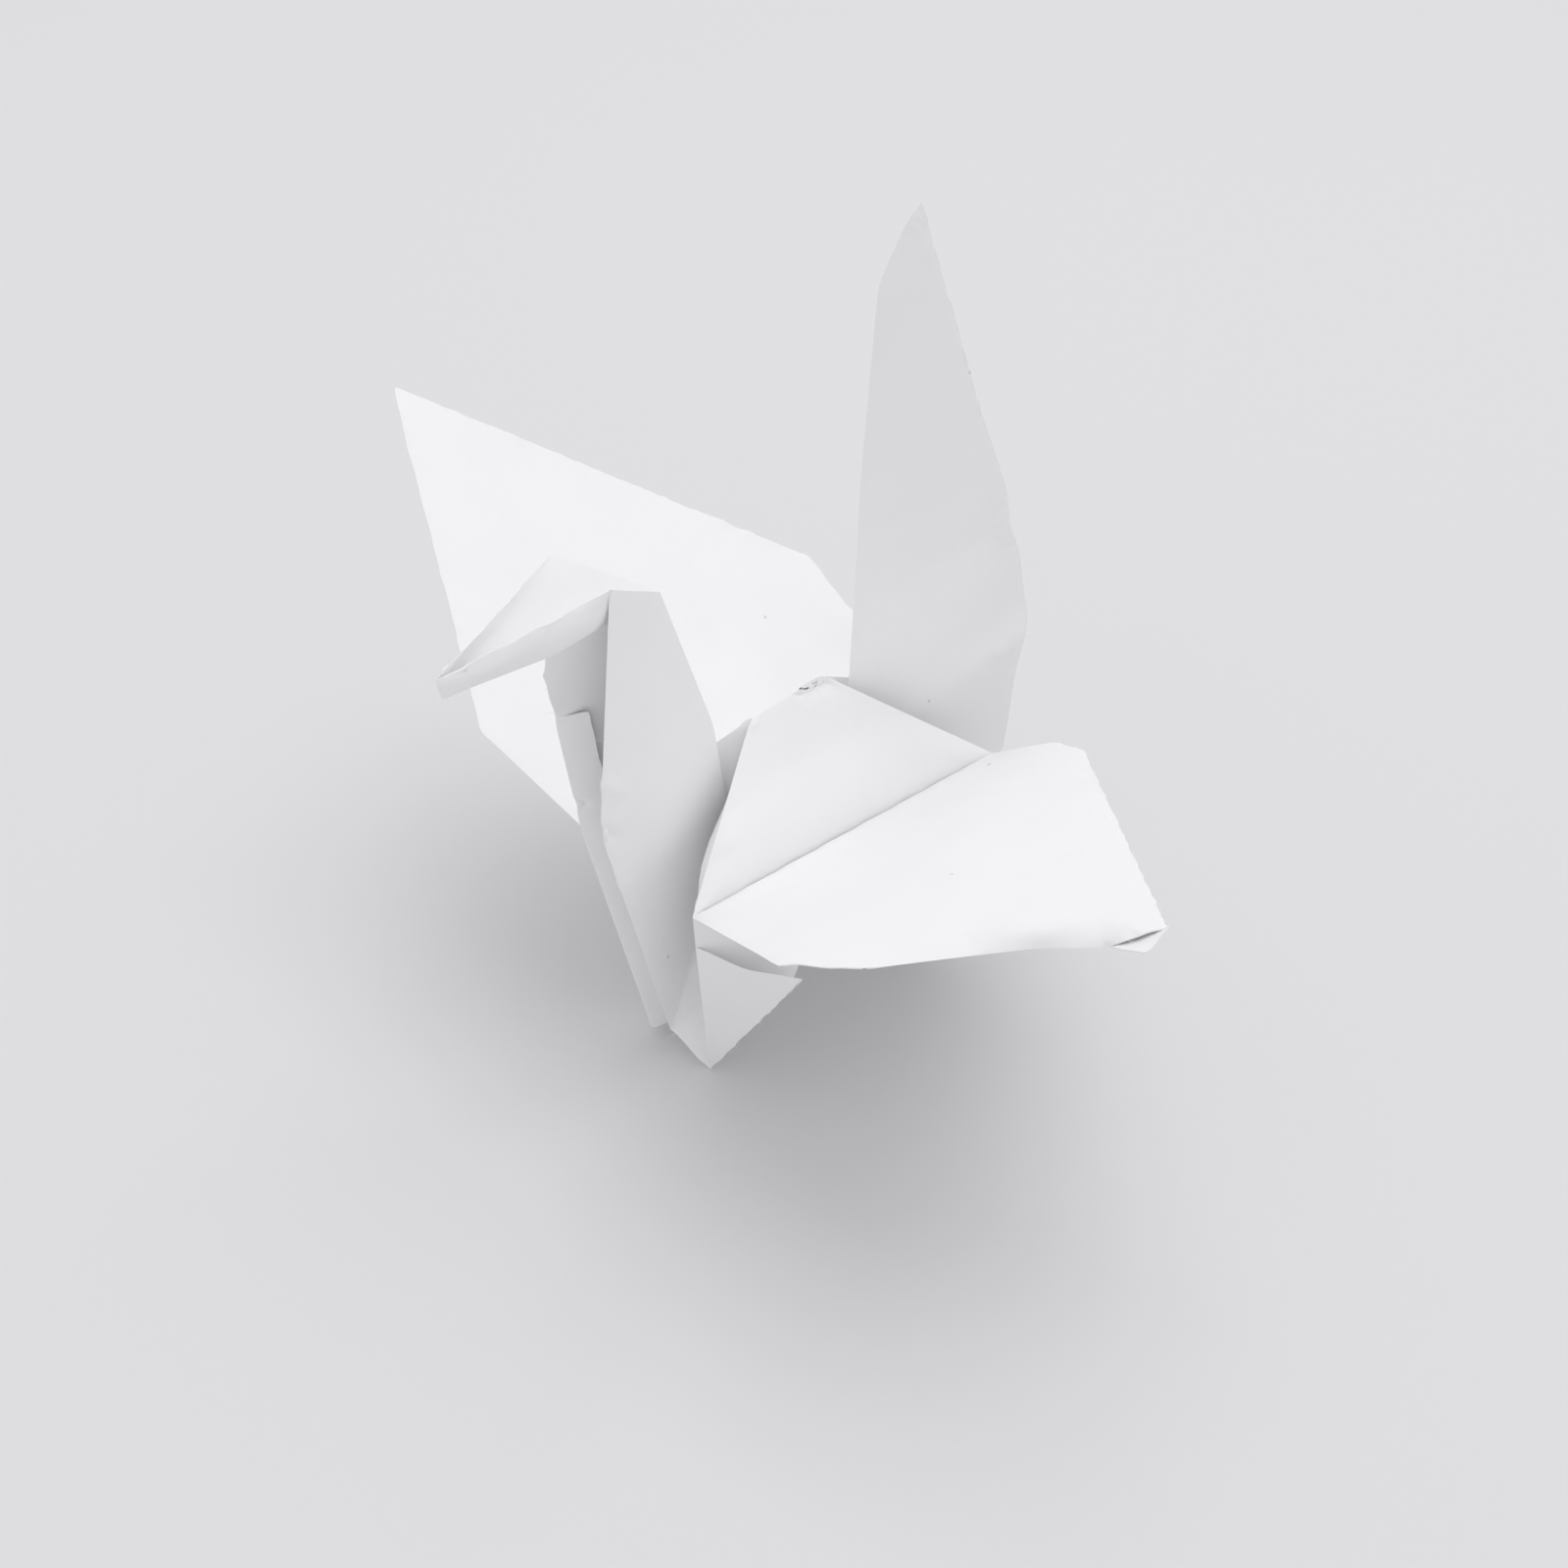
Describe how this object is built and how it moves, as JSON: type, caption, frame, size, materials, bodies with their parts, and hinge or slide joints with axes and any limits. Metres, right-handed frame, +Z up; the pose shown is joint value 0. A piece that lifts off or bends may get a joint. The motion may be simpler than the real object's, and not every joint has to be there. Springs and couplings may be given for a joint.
{
  "type": "origami crane",
  "caption": "White paper crane folded from one square sheet, with raised wings, an upright pointed tail and an open folded neck.",
  "frame": {"origin": "centre of the bounding box on the surface that the feet stand on", "axes": "+X to the bird's left along the wing span, +Y towards the tail, +Z up"},
  "size_m": [0.0898, 0.0612, 0.0755],
  "materials": {
    "paper": "matte uncoated white paper"
  },
  "bodies": {
    "root": {"folded_sheet": "paper"}
  },
  "joints": []
}
